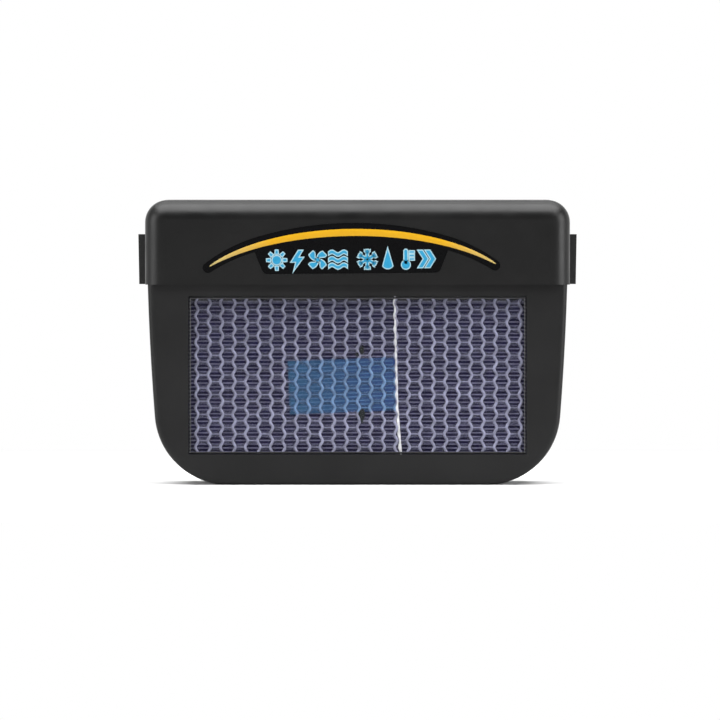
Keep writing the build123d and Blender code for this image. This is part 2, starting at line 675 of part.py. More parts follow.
def armature_core():
    """The three-pole stack of laminations."""
    core = ring((0, FAN_Z), CORE_R, SHAFT_R, *CORE_Y)
    wedge = make_face(Polyline((0, 0), (-9, 12), (9, 12), close=True))
    shoe = ring((0, FAN_Z), POLE_R, POLE_R - SHOE, *CORE_Y)
    shoe &= prism(Pos(0, FAN_Z) * wedge, CORE_Y[0] - 1, CORE_Y[1] + 1)
    arm = block(around(0, ARM / 2), CORE_Y, (FAN_Z + CORE_R - 0.4, FAN_Z + POLE_R - SHOE / 2))
    for i in range(3):
        core += about_axis(shoe + arm, 120 * i)
    return core


def armature_coils():
    """A copper coil round each pole's arm."""
    y = (CORE_Y[0] - COIL_OVER, CORE_Y[1] + COIL_OVER)
    coil = block(around(0, COIL_HALF_X), y, COIL_Z)
    coil = fillet(coil.edges().filter_by(Axis.Z), 0.9)
    coil -= block(around(0, ARM / 2), CORE_Y, (COIL_Z[0] - 1, COIL_Z[1] + 1))
    return [about_axis(coil, 120 * i) for i in range(3)]


def commutator():
    """Three copper segments on the shaft, with gaps between them."""
    drum = ring((0, FAN_Z), COMMUTATOR_R, SHAFT_R + SLEEVE, *COMMUTATOR_Y)
    cut = block(
        around(0, COMMUTATOR_CUT / 2), (COMMUTATOR_Y[0] - 1, COMMUTATOR_Y[1] + 1),
        (FAN_Z + SHAFT_R, FAN_Z + COMMUTATOR_R + 1),
    )
    for i in range(3):
        drum -= about_axis(cut, 120 * i + 60)
    return drum


def commutator_sleeve():
    """The insulating sleeve between the shaft and the commutator's segments."""
    return ring((0, FAN_Z), SHAFT_R + SLEEVE, SHAFT_R, COMMUTATOR_Y[0], CORE_Y[0] - 0.1)


def shaft_spacers():
    """Nylon washers that set the armature between its bearings, and the wheel off the motor."""
    return [
        ring((0, FAN_Z), SPACER_R, SHAFT_R, CORE_Y[1] + 0.05, CAN_Y[1] - 1.9),
        ring((0, FAN_Z), SPACER_R, SHAFT_R, CAN_Y[1] + CAN_BOSS + 0.1, IMPELLER_Y[0] - 0.4),
    ]


# ---------------------------------------------------------------- fan
def blade():
    """One twisted blade, lofted from inside the hub out to its tip, pointing along +Z."""
    sections = []
    for radius, chord, pitch in BLADE_STATIONS:
        centre = (0, sum(IMPELLER_Y) / 2, FAN_Z + radius)
        plane = Plane(origin=centre, x_dir=(1, 0, 0), z_dir=(0, 0, 1))
        sections.append(plane * Rot(0, 0, pitch) * Ellipse(chord / 2, BLADE_THICK / 2))
    return loft(sections)


def impeller():
    """The axial fan wheel: a domed hub and its blades, pressed on the shaft."""
    centre = (0, FAN_Z)
    behind, face = IMPELLER_Y
    wheel = rod(centre, HUB_R, behind, face)
    wheel = fillet(edges_at_y(wheel, face), 2.5)
    first = blade()
    for i in range(BLADES):
        wheel += about_axis(first, 360 / BLADES * i)
    wheel &= rod(centre, IMPELLER_R, behind - 2, face + 2)
    wheel -= ring(centre, HUB_R - HUB_WALL, HUB_CORE_R, behind - 5, face - HUB_FACE)
    return wheel - rod(centre, SHAFT_R, behind - 5, face - 1.5)


def motor_bracket():
    """The cup round the motor and the three arms that carry it from the rear cover."""
    centre = (0, FAN_Z)
    front = BRACKET_Y
    back = front - BRACKET_PLATE
    cup = ring(centre, CAN_R + 0.05 + BRACKET_WALL, CAN_R + 0.05, CAN_Y[0] + 2, front)
    cup += ring(centre, CAN_R + 0.05 + BRACKET_WALL, CAN_BOSS_R + 0.7, CAN_Y[1], front)
    foot = FAN_Z + CAN_R + 1
    arm = block(around(0, BRACKET_ARM_HALF), (back, front), (foot, FAN_Z + BRACKET_R))
    rib = block(
        around(0, BRACKET_RIB_HALF), (back - BRACKET_RIB, back + 0.4),
        (foot, FAN_Z + BRACKET_R - 7),
    )
    for angle, place in zip(BRACKET_ANGLES, BRACKET_SCREWS):
        cup += about_axis(arm + rib, angle)
        cup += rod(place, BRACKET_EYE_R, back, front)
        cup -= rod(place, CLEARANCE_R, back - 2, front + 1)
    for place in FACE_SCREWS:
        cup -= rod(place, PILOT_R, CAN_Y[1] - 1, front + 1)
    return cup


def fan_guard():
    """The round inlet guard: rings on radial spokes inside a flange that clips into the cover."""
    centre = (0, FAN_Z)
    outer_y = REAR_Y - 0.1
    bars_y = (outer_y - GUARD_BARS, outer_y)
    guard = ring(centre, GUARD_R, SHROUD_R - 0.4, outer_y - GUARD_FLANGE, outer_y)
    guard += ring(centre, SHROUD_R - 0.3, SHROUD_R - 1.6, *bars_y)
    guard += rod(centre, GUARD_HUB_R, *bars_y)
    for radius in GUARD_RINGS:
        guard += ring(centre, radius + GUARD_RING_HALF, radius - GUARD_RING_HALF, *bars_y)
    reach = (FAN_Z + GUARD_HUB_R - 1.5, FAN_Z + SHROUD_R - 0.5)
    spoke = block(around(0, GUARD_SPOKE_HALF), bars_y, reach)
    for i in range(GUARD_SPOKES):
        guard += about_axis(spoke, 360 / GUARD_SPOKES * (i + 0.5))
    return guard


# ---------------------------------------------------------------- wiring
def solder_pads():
    return [rod(place, PAD_R, BOARD_Y[1], BOARD_Y[1] + PAD) for place in PADS]


def lead(pad, x_roof, y_down, drop_z, terminal):
    """A wire from a pad on the board, up and over the slot's roof, down and on to a motor tab."""
    x_end, z_end = terminal
    corners = [
        (pad[0], BOARD_Y[1] + PAD, pad[1]),
        (pad[0], -26.0, pad[1]),
        (x_roof, -23.0, ROOF_RUN_Z),
        (x_roof, y_down - 1, ROOF_RUN_Z),
        (x_roof, y_down, drop_z),
        (x_end, y_down, drop_z - 9),
        (x_end, y_down, z_end),
        (x_end, CAN_Y[0] - TERMINAL_OUT, z_end),
    ]
    path = FilletPolyline(*corners, radius=LEAD_BENDS)
    start = Plane(origin=path @ 0, z_dir=path % 0)
    return sweep(start * Circle(LEAD_R), path=path)


# ---------------------------------------------------------------- every node
def casing():
    right, left = pair(strip_channel())
    return {
        "hood": hood(),
        "label_plate": badge(),
        "front_cover": front_cover(),
        "main_body": main_body(),
        "rear_cover": rear_cover(),
        "outlet_grille": outlet_grille(),
        "fan_guard": fan_guard(),
        "strip_channel_right": right,
        "strip_channel_left": left,
    }


def solar_window():
    return {
        "window_lens": window_lens(),
        "window_gasket": window_gasket(),
        "panel_board": panel_board(),
        "blue_cell": blue_cell(),
        "bus_ribbon": bus_ribbon(),
        "lead_red": lead(PADS[0], RED_LEAD_X, 0.6, 66.0, TERMINALS[1]),
        "lead_black": lead(PADS[1], BLACK_LEAD_X, -2.0, 72.0, TERMINALS[0]),
        **numbered("dark_cell", dark_cells()),
        **numbered("cell_lead", cell_leads()),
        **numbered("solder_pad", solder_pads()),
    }


def fasteners():
    board_front, board_back = BOARD_Y
    bracket_seat = BRACKET_Y - BRACKET_PLATE
    cover_seat = FRONT_TONGUE_Y - TONGUE
    return {
        **numbered("strip_channel_screw", pair(channel_screw())),
        **numbered("panel_screw", [
            screw(place, board_back, board_front - 2 * SHEET + 0.3, SCREW_R, 2.4, 1.5)
            for place in BOARD_SCREWS
        ]),
        **numbered("front_cover_screw", [
            screw(place, cover_seat, cover_seat + 9, SCREW_R, 2.5, 1.7) for place in COVER_SCREWS
        ]),
        **numbered("rear_cover_screw", [
            screw(place, REAR_SINK_FLOOR, REAR_SCREW_TIP_Y, REAR_SCREW_R, 2.8, 2.1)
            for place in REAR_SCREWS
        ]),
        **numbered("motor_bracket_screw", [
            screw(place, bracket_seat, bracket_seat + 12.4, SCREW_R, 2.5, 1.6)
            for place in BRACKET_SCREWS
        ]),
        **numbered("motor_face_screw", [
            screw(place, BRACKET_Y, BRACKET_Y - 3.1, FACE_SCREW_R, 1.9, 1.1)
            for place in FACE_SCREWS
        ]),
    }


def motor_and_fan():
    return {
        "motor_bracket": motor_bracket(),
        "motor_can": motor_can(),
        "motor_end_cap": motor_end_cap(),
        "front_bearing": front_bearing(),
        "rear_bearing": rear_bearing(),
        **numbered("motor_magnet", motor_magnets()),
        **numbered("motor_brush", motor_brushes()),
        **numbered("motor_terminal", motor_terminals()),
        "motor_shaft": motor_shaft(),
        "armature_core": armature_core(),
        **numbered("armature_coil", armature_coils()),
        "commutator": commutator(),
        "commutator_sleeve": commutator_sleeve(),
        **numbered("shaft_spacer", shaft_spacers()),
        "impeller": impeller(),
    }


os.makedirs("parts", exist_ok=True)
for group in (casing, solar_window, fasteners, motor_and_fan):
    for node, shape in group().items():
        export_step(shape, f"parts/{node}.step")
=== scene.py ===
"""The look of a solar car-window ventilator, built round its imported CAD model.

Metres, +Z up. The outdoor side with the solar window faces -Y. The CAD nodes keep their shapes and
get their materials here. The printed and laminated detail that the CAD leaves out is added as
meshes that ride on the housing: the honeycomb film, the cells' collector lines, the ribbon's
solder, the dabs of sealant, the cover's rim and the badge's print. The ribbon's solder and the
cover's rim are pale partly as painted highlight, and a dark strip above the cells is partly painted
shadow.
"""
import json
from math import cos, pi, radians, sin, sqrt

import bmesh
import bpy
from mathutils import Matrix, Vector


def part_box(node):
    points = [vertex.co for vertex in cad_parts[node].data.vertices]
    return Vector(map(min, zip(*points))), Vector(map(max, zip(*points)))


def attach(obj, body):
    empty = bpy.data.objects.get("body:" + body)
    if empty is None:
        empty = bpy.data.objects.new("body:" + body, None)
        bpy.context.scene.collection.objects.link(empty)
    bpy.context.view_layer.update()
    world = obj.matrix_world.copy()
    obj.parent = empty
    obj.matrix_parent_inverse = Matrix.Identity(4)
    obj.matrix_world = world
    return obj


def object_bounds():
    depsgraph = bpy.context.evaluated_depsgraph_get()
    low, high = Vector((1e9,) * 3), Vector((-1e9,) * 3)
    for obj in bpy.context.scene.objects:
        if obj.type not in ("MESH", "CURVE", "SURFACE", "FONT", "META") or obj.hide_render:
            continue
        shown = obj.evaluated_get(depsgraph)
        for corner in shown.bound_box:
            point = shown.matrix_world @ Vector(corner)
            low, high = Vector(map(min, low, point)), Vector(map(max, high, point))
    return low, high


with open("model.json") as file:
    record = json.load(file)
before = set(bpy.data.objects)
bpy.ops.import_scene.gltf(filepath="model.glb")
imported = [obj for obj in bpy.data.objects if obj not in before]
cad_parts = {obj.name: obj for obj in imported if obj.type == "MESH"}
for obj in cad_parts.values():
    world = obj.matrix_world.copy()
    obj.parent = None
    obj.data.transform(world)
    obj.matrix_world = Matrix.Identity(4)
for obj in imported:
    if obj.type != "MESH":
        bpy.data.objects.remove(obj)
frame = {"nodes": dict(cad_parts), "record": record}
CAD_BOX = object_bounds()
NODES = frame["nodes"]
MM = 0.001
HOUSING = "housing"

# ---------------------------------------------------------------- places taken from the frame
LENS_LOW, LENS_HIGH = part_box("window_lens")
FLANGE = 1.8 * MM                      # the lens's flange runs this far behind the frame
WINDOW_X = (LENS_LOW.x + FLANGE, LENS_HIGH.x - FLANGE)
WINDOW_Z = (LENS_LOW.z + FLANGE, LENS_HIGH.z - FLANGE)
FILM_Y = LENS_HIGH.y + 0.02 * MM       # the honeycomb film lies just behind the lens
CELL_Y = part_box("dark_cell_1")[0].y
BLUE_LOW, BLUE_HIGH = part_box("blue_cell")
BADGE_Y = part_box("label_plate")[0].y

# The honeycomb: upright wavy lines in opposite phase, with short bridges where they come close
COLUMN = 5.43 * MM
PERIOD = 5.72 * MM
WAVE = 0.6 * MM
FIRST_LINE_X = -26.7 * MM              # one wavy line's middle, and a height at which it is leftmost
FIRST_CREST_Z = 56.4 * MM
LINE = 1.1 * MM
HALO = 1.0 * MM                        # half width of the milky band along each line
BRIDGE = 0.55 * MM
VEIL = (1.75 * MM, 1.2 * MM)           # half height of a milky patch, at the lines and between them
FILM_Z = (WINDOW_Z[0] + 0.4 * MM, WINDOW_Z[1] - 0.4 * MM)
FILM_LINES = range(
    int((WINDOW_X[0] - FIRST_LINE_X) / COLUMN),
    int((WINDOW_X[1] - FIRST_LINE_X) / COLUMN) + 1,
)
FILM_STEPS = 168                       # sections along one wavy line
CELL_TOP = 80.1 * MM                   # the dark cells' upper edge, below a black strip that is partly board and partly painted shadow
FINGER_PITCH = 1.667 * MM              # of the level collector lines printed on the cells
FINGER = 0.55 * MM
BLUE_TURN = radians(2.2)
RIBBON_TOP = (16.1 * MM, 82.0 * MM)    # the silver ribbon's middle at both ends, and where it bends
RIBBON_BEND = (17.2 * MM, 37.0 * MM)
RIBBON_FOOT = (18.7 * MM, 13.6 * MM)
RIBBON_HALF = 0.42                     # half its solder's mean width, in millimetres
DABS = [(1.5 * MM, 58.5 * MM), (1.8 * MM, 30.2 * MM)]

# How far each layer of the window lies behind FILM_Y, and how high its bars are domed
LINE_BACK, LINE_FRONT, LINE_RISE = 0.3 * MM, 0.1 * MM, 0.08 * MM
BRIDGE_FRONT, BRIDGE_RISE = 0.16 * MM, 0.04 * MM
HALO_BACK = 0.32 * MM
VEIL_BACK = 0.34 * MM
DAB_BACK = 0.07 * MM
RIBBON_BACK, RIBBON_FRONT, RIBBON_RISE = 0.1 * MM, 0.05 * MM, 0.03 * MM
FINGER_FRONT, FINGER_RISE = 0.02 * MM, 0.01 * MM     # in front of the cell it is printed on

# The badge, in its own plane before it is turned and shifted. Marks are drawn in millimetres.
BADGE_X = -1.6 * MM
BADGE_TURN = radians(0.5)
STRIPE_X = 0.35 * MM
STRIPE_HALF = 62.3 * MM                # from the stripe's middle to either tip
STRIPE_TOP = 110.1 * MM                # its middle line's highest point
STRIPE_ARCH = (74.4 * MM, 31.3 * MM)   # half axes of the ellipse that the middle line follows
STRIPE_THICK = 3.05 * MM
STRIPE_TAPER = 0.42                    # how soon it thins: a smaller power keeps it thick for longer
MARKS_Z = 98.3 * MM
MARKS_X = (-32.75, -23.85, -14.95, -6.05, 6.75, 15.65, 24.55, 32.85)
MARK_SIZE = 4.25                       # half height of a pictogram, in millimetres
MARK_RIM = 0.42 * MM                   # how far its pale rim reaches past its outline
MARK_INSET = 0.03 * MM
RIM_HEIGHT, FILL_HEIGHT = 0.06, 0.09   # how far rim and fill stand proud, in millimetres


# ---------------------------------------------------------------- material helpers
def shader(name, colour, roughness, metallic=0.0, specular=0.5):
    """A node material with its Principled shader's plain values set."""
    material = bpy.data.materials.new(name)
    material.use_nodes = True
    tree = material.node_tree
    surface = tree.nodes["Principled BSDF"]
    surface.inputs["Base Color"].default_value = (*colour, 1.0)
    surface.inputs["Roughness"].default_value = roughness
    surface.inputs["Metallic"].default_value = metallic
    surface.inputs["Specular IOR Level"].default_value = specular
    return material, tree, surface


def coordinates(tree, stretch=(1, 1, 1)):
    """Object coordinates in metres, stretched along the axes."""
    source = tree.nodes.new("ShaderNodeTexCoord")
    mapping = tree.nodes.new("ShaderNodeMapping")
    mapping.inputs["Scale"].default_value = stretch
    tree.links.new(source.outputs["Object"], mapping.inputs["Vector"])
    return mapping.outputs["Vector"]


def cloudy(tree, feature, detail=3.0, stretch=(1, 1, 1)):
    """Soft noise whose features are about this many metres across."""
    noise = tree.nodes.new("ShaderNodeTexNoise")
    noise.inputs["Scale"].default_value = 1.0 / feature
    noise.inputs["Detail"].default_value = detail
    tree.links.new(coordinates(tree, stretch), noise.inputs["Vector"])
    return noise.outputs["Fac"]


def flakes(tree, feature):
    """Flat patches of random value, as in polycrystalline silicon."""
    cells = tree.nodes.new("ShaderNodeTexVoronoi")
    cells.inputs["Scale"].default_value = 1.0 / feature
    tree.links.new(coordinates(tree), cells.inputs["Vector"])
    grey = tree.nodes.new("ShaderNodeRGBToBW")
    tree.links.new(cells.outputs["Color"], grey.inputs["Color"])
    return grey.outputs["Val"]


def spread(tree, value, low, high, start=0.3, end=0.7):
    """Maps a value that lies between start and end on to low to high."""
    ranged = tree.nodes.new("ShaderNodeMapRange")
    ranged.inputs["From Min"].default_value = start
    ranged.inputs["From Max"].default_value = end
    ranged.inputs["To Min"].default_value = low
    ranged.inputs["To Max"].default_value = high
    tree.links.new(value, ranged.inputs["Value"])
    return ranged.outputs["Result"]


def tint(tree, value, first, second):
    """A colour between two, by a value from 0 to 1."""
    mix = tree.nodes.new("ShaderNodeMix")
    mix.data_type = "RGBA"
    mix.inputs[6].default_value = (*first, 1.0)
    mix.inputs[7].default_value = (*second, 1.0)
    tree.links.new(value, mix.inputs[0])
    return mix.outputs[2]


def relief(tree, surface, value, distance, strength=1.0):
    """Adds a bump of this many metres to a shader."""
    bump = tree.nodes.new("ShaderNodeBump")
    bump.inputs["Strength"].default_value = strength
    bump.inputs["Distance"].default_value = distance
    tree.links.new(value, bump.inputs["Height"])
    earlier = surface.inputs["Normal"].links
    if earlier:
        tree.links.new(earlier[0].from_socket, bump.inputs["Normal"])
    tree.links.new(bump.outputs["Normal"], surface.inputs["Normal"])


def along(tree, axis):
    """One object coordinate, in metres."""
    split = tree.nodes.new("ShaderNodeSeparateXYZ")
    tree.links.new(coordinates(tree), split.inputs["Vector"])
    return split.outputs[axis]


def calculated(tree, operation, first, second):
    """One sum on two values, each a socket or a plain number."""
    node = tree.nodes.new("ShaderNodeMath")
    node.operation = operation
    for place, value in zip(node.inputs, (first, second)):
        if isinstance(value, float):
            place.default_value = value
        else:
            tree.links.new(value, place)
    return node.outputs["Value"]


def scaled(colour, factor):
    """A colour made brighter or darker."""
    return tuple(min(1.0, c * factor) for c in colour)


# ---------------------------------------------------------------- materials
def moulded_plastic(name, colour, roughness, specular, grain=0.00045):
    """Satin moulded plastic: a fine spark-eroded grain, faint flow clouds and handling marks."""
    material, tree, surface = shader(name, colour, roughness, specular=specular)
    clouds = spread(tree, cloudy(tree, 0.035, 4.0), 0.0, 1.0)
    mixed = tint(tree, clouds, scaled(colour, 0.82), scaled(colour, 1.25))
    tree.links.new(mixed, surface.inputs["Base Color"])
    smudges = spread(tree, cloudy(tree, 0.012, 5.0), roughness - 0.05, roughness + 0.06)
    tree.links.new(smudges, surface.inputs["Roughness"])
    relief(tree, surface, cloudy(tree, grain, 2.0), 0.00002, 0.5)
    relief(tree, surface, cloudy(tree, 0.03, 1.0), 0.00012, 0.35)
    return material


def brushed(name, colour, roughness, stretch, metallic=1.0):
    """Metal with fine drawn or turned marks and slight staining."""
    material, tree, surface = shader(name, colour, roughness, metallic)
    marks = cloudy(tree, 0.00025, 3.0, stretch)
    stains = spread(tree, cloudy(tree, 0.004, 3.0), 0.0, 1.0)
    tree.links.new(tint(tree, stains, scaled(colour, 0.8), colour), surface.inputs["Base Color"])
    tree.links.new(spread(tree, marks, roughness - 0.08, roughness + 0.1), surface.inputs["Roughness"])
    relief(tree, surface, marks, 0.000008, 0.4)
    return material


def insulation(name, colour):
    """Extruded wire insulation, with a soft sheen along its run painted into its colour as lighter and
    darker clouds.
    """
    material, tree, surface = shader(name, colour, 0.38)
    waves = cloudy(tree, 0.002, 2.0)
    # Lighter and darker clouds in the colour stand for a painted sheen.
    tree.links.new(tint(tree, waves, scaled(colour, 0.75), colour), surface.inputs["Base Color"])
    relief(tree, surface, cloudy(tree, 0.0006, 2.0), 0.00001, 0.4)
    return material


def badge_black():
    """The badge's gloss film: near black, with a very slight orange peel."""
    material, tree, surface = shader("badge_black", (0.0012, 0.0012, 0.0014), 0.25, specular=0.06)
    dust = spread(tree, cloudy(tree, 0.003, 5.0), 0.2, 0.34)
    tree.links.new(dust, surface.inputs["Roughness"])
    relief(tree, surface, cloudy(tree, 0.004, 1.0), 0.00001, 0.3)
    return material


def clear_acrylic():
    """The clear cover: mostly see-through, with a faint haze and a few fine rubs."""
    material, tree, surface = shader("clear_acrylic", (0.012, 0.012, 0.018), 0.16, specular=0.4)
    surface.inputs["Alpha"].default_value = 0.06
    rubs = spread(tree, cloudy(tree, 0.006, 6.0, (1, 1, 3)), 0.12, 0.24)
    tree.links.new(rubs, surface.inputs["Roughness"])
    return material


def dark_silicon():
    """The dark cells: a blue-violet film that shifts slightly from patch to patch."""
    material, tree, surface = shader("dark_silicon", (0.005, 0.0045, 0.022), 0.34, specular=0.06)
    patches = spread(tree, cloudy(tree, 0.014, 2.0), 0.0, 1.0)
    film = tint(tree, patches, (0.0018, 0.0018, 0.018), (0.0045, 0.003, 0.019))
    tree.links.new(film, surface.inputs["Base Color"])
    tree.links.new(spread(tree, cloudy(tree, 0.002), 0.28, 0.42), surface.inputs["Roughness"])
    return material


def blue_silicon():
    """The small polycrystalline cell: blue flakes, greener to the left and more violet to the right."""
    material, tree, surface = shader("blue_silicon", (0.03, 0.09, 0.24), 0.3, specular=0.2)
    middle_x = (BLUE_LOW.x + BLUE_HIGH.x) / 2
    half_x = (BLUE_HIGH.x - BLUE_LOW.x) / 2
    across = spread(tree, along(tree, "X"), 0.0, 1.0, middle_x - half_x, middle_x + half_x)
    base = tint(tree, across, (0.0135, 0.055, 0.115), (0.0155, 0.036, 0.125))
    mix = tree.nodes.new("ShaderNodeMix")
    mix.data_type = "RGBA"
    mix.blend_type = "MULTIPLY"
    mix.inputs[0].default_value = 1.0
    shade = tint(tree, flakes(tree, 0.0024), (0.7, 0.72, 0.76), (1.0, 1.0, 1.0))
    tree.links.new(base, mix.inputs[6])
    tree.links.new(shade, mix.inputs[7])
    tree.links.new(mix.outputs[2], surface.inputs["Base Color"])
    return material


def paler_to_foot_and_right(tree, colour):
    """Makes the film's colour paler towards the window's foot and its right-hand end."""
    lower = spread(tree, along(tree, "Z"), 1.3, 0.99, *WINDOW_Z)
    right = spread(tree, along(tree, "X"), -0.02, 0.14, WINDOW_X[0] / 2, WINDOW_X[1])
    paler = tree.nodes.new("ShaderNodeVectorMath")
    paler.operation = "SCALE"
    tree.links.new(colour, paler.inputs[0])
    tree.links.new(calculated(tree, "ADD", lower, right), paler.inputs["Scale"])
    return paler.outputs[0]


def printed_line(name, colour, spots=0.0):
    """Pale printed conductor, a little uneven in brightness as thick-film print is."""
    material, tree, surface = shader(name, colour, 0.45, specular=0.2)
    patches = spread(tree, cloudy(tree, 0.0022, 4.0), 0.0, 1.0)
    mixed = tint(tree, patches, scaled(colour, 0.68 - spots), scaled(colour, 1.16 + spots))
    tree.links.new(paler_to_foot_and_right(tree, mixed), surface.inputs["Base Color"])
    relief(tree, surface, cloudy(tree, 0.0003, 2.0), 0.00001, 0.5)
    return material


def amber_print():
    """The stripe's ink: amber in the middle, paler towards its two tips."""
    material, tree, surface = shader("amber_print", (0.38, 0.2, 0.003), 0.36, specular=0.2)
    x = along(tree, "X")
    distance = tree.nodes.new("ShaderNodeMath")
    distance.operation = "ABSOLUTE"
    tree.links.new(x, distance.inputs[0])
    fade = spread(tree, distance.outputs["Value"], 0.0, 1.0, STRIPE_HALF * 0.6, STRIPE_HALF)
    clouds = tint(tree, cloudy(tree, 0.006, 4.0), (0.37, 0.197, 0.002), (0.4, 0.213, 0.004))
    mix = tree.nodes.new("ShaderNodeMix")
    mix.data_type = "RGBA"
    mix.inputs[7].default_value = (0.29, 0.225, 0.08, 1.0)
    tree.links.new(fade, mix.inputs[0])
    tree.links.new(clouds, mix.inputs[6])
    tree.links.new(mix.outputs[2], surface.inputs["Base Color"])
    return material


def veil(name, colour, alpha):
    """The film's milky skin between two close lines, which shows the cell dimly."""
    material, tree, surface = shader(name, colour, 0.5, specular=0.2)
    surface.inputs["Alpha"].default_value = alpha
    patches = spread(tree, cloudy(tree, 0.003, 3.0), 0.0, 1.0)
    mixed = tint(tree, patches, scaled(colour, 0.8), scaled(colour, 1.2))
    tree.links.new(paler_to_foot_and_right(tree, mixed), surface.inputs["Base Color"])
    return material


def dotted_rim_highlight(name, colour):
    """The cover's polished rim as a painted highlight, broken into dots where it faces the ends of the
    collector lines.
    """
    material, tree, surface = shader(name, colour, 0.4, specular=0.3)
    steps = tree.nodes.new("ShaderNodeTexWave")
    steps.bands_direction = "Z"
    steps.inputs["Scale"].default_value = 2 * pi / FINGER_PITCH / 20
    steps.inputs["Distortion"].default_value = 1.0
    tree.links.new(coordinates(tree), steps.inputs["Vector"])
    mixed = tint(tree, steps.outputs["Fac"], scaled(colour, 0.35), scaled(colour, 1.5))
    tree.links.new(mixed, surface.inputs["Base Color"])
    return material


def ink(name, colour):
    """A flat screen-printed ink with faint mottling."""
    material, tree, surface = shader(name, colour, 0.36, specular=0.2)
    mottle = cloudy(tree, 0.0015, 4.0)
    mixed = tint(tree, mottle, scaled(colour, 0.85), scaled(colour, 1.12))
    tree.links.new(mixed, surface.inputs["Base Color"])
    return material


def laminate():
    """Glass-fibre board: dark green resin over a woven cloth."""
    material, tree, surface = shader("laminate", (0.015, 0.035, 0.02), 0.4)
    warp = tree.nodes.new("ShaderNodeTexWave")
    warp.inputs["Scale"].default_value = 250.0
    warp.inputs["Distortion"].default_value = 1.5
    tree.links.new(coordinates(tree), warp.inputs["Vector"])
    mixed = tint(tree, warp.outputs["Fac"], (0.010, 0.026, 0.014), (0.02, 0.045, 0.025))
    tree.links.new(mixed, surface.inputs["Base Color"])
    relief(tree, surface, warp.outputs["Fac"], 0.00003, 0.4)
    return material


def laminations(name):
    """Stacked sheet steel: fine lines across the stack."""
    material, tree, surface = shader(name, (0.2, 0.2, 0.21), 0.45, 1.0)
    sheets = tree.nodes.new("ShaderNodeTexWave")
    sheets.bands_direction = "Y"
    sheets.inputs["Scale"].default_value = 640.0
    tree.links.new(coordinates(tree), sheets.inputs["Vector"])
    mixed = tint(tree, sheets.outputs["Fac"], (0.09, 0.09, 0.1), (0.26, 0.26, 0.27))
    tree.links.new(mixed, surface.inputs["Base Color"])
    relief(tree, surface, sheets.outputs["Fac"], 0.00005, 0.5)
    return material


def enamelled_wire():
    """Wound copper wire: round turns drawn by a wave across the coil, with painted shade darkening the
    colour between the turns.
    """
    material, tree, surface = shader("enamelled_wire", (0.55, 0.2, 0.07), 0.25, 0.8)
    turns = tree.nodes.new("ShaderNodeTexWave")
    turns.bands_direction = "Y"
    turns.inputs["Scale"].default_value = 900.0
    turns.inputs["Distortion"].default_value = 0.6
    tree.links.new(coordinates(tree), turns.inputs["Vector"])
    # The colour is darker in the grooves between turns: painted shade.
    mixed = tint(tree, turns.outputs["Fac"], (0.24, 0.07, 0.02), (0.66, 0.27, 0.1))
    tree.links.new(mixed, surface.inputs["Base Color"])
    relief(tree, surface, turns.outputs["Fac"], 0.00008, 0.6)
    return material


MATERIALS = {
    "case_plastic": moulded_plastic("case_plastic", (0.0074, 0.0074, 0.0075), 0.4, 0.14),
    "trim_plastic": moulded_plastic("trim_plastic", (0.0035, 0.0035, 0.0036), 0.44, 0.34, 0.0006),
    "motor_plastic": moulded_plastic("motor_plastic", (0.022, 0.022, 0.025), 0.45, 0.35),
    "impeller_plastic": moulded_plastic("impeller_plastic", (0.012, 0.012, 0.014), 0.33, 0.4),
    "label_gloss": badge_black(),
    "zinc_steel": brushed("zinc_steel", (0.52, 0.52, 0.55), 0.34, (1, 6, 1)),
    "clear_acrylic": clear_acrylic(),
    "gasket_rubber": moulded_plastic("gasket_rubber", (0.012, 0.012, 0.012), 0.7, 0.3, 0.0008),
    "board_laminate": laminate(),
    "dark_silicon": dark_silicon(),
    "blue_silicon": blue_silicon(),
    "tinned_metal": brushed("tinned_metal", (0.86, 0.86, 0.9), 0.42, (1, 1, 1), 0.25),
    "black_insulation": insulation("black_insulation", (0.008, 0.008, 0.008)),
    "red_insulation": insulation("red_insulation", (0.45, 0.012, 0.012)),
    "nickel_steel": brushed("nickel_steel", (0.6, 0.59, 0.56), 0.28, (1, 8, 1)),
    "nylon_white": moulded_plastic("nylon_white", (0.66, 0.65, 0.6), 0.45, 0.5, 0.0008),
    "ferrite": moulded_plastic("ferrite", (0.035, 0.035, 0.038), 0.6, 0.5, 0.0003),
    "sintered_bronze": brushed("sintered_bronze", (0.45, 0.28, 0.12), 0.55, (1, 1, 1)),
    "spring_copper": brushed("spring_copper", (0.72, 0.36, 0.2), 0.3, (1, 1, 6)),
    "ground_steel": brushed("ground_steel", (0.7, 0.7, 0.72), 0.15, (1, 10, 1)),
    "lamination_steel": laminations("lamination_steel"),
    "copper_wire": enamelled_wire(),
}
HOOD_PLASTIC = moulded_plastic("hood_plastic", (0.0012, 0.0012, 0.0012), 0.35, 0.235)
LINE_PALE = printed_line("line_pale", (0.155, 0.156, 0.218), 0.1)
LINE_BLUE = printed_line("line_blue", (0.082, 0.138, 0.235), 0.05)
BRIDGE_GREY = printed_line("bridge_grey", (0.105, 0.105, 0.15), 0.1)
BRIDGE_BLUE = printed_line("bridge_blue", (0.036, 0.076, 0.147), 0.05)
FINGER_GREY = printed_line("finger_grey", (0.082, 0.08, 0.13))
FINGER_BLUE = printed_line("finger_blue", (0.034, 0.083, 0.16))
VEIL_GREY = veil("veil_grey", (0.038, 0.038, 0.07), 0.68)
VEIL_BLUE = veil("veil_blue", (0.03, 0.06, 0.13), 0.4)
HALO_GREY = veil("halo_grey", (0.066, 0.066, 0.102), 0.42)
HALO_BLUE = veil("halo_blue", (0.05, 0.09, 0.18), 0.35)
# The ribbon's pale colour is partly its solder's own and partly a painted glint.
RIBBON_GLINT = printed_line("ribbon_glint", (0.44, 0.44, 0.45), 0.05)
DAB_BLACK = veil("dab_black", (0.004, 0.006, 0.006), 0.94)
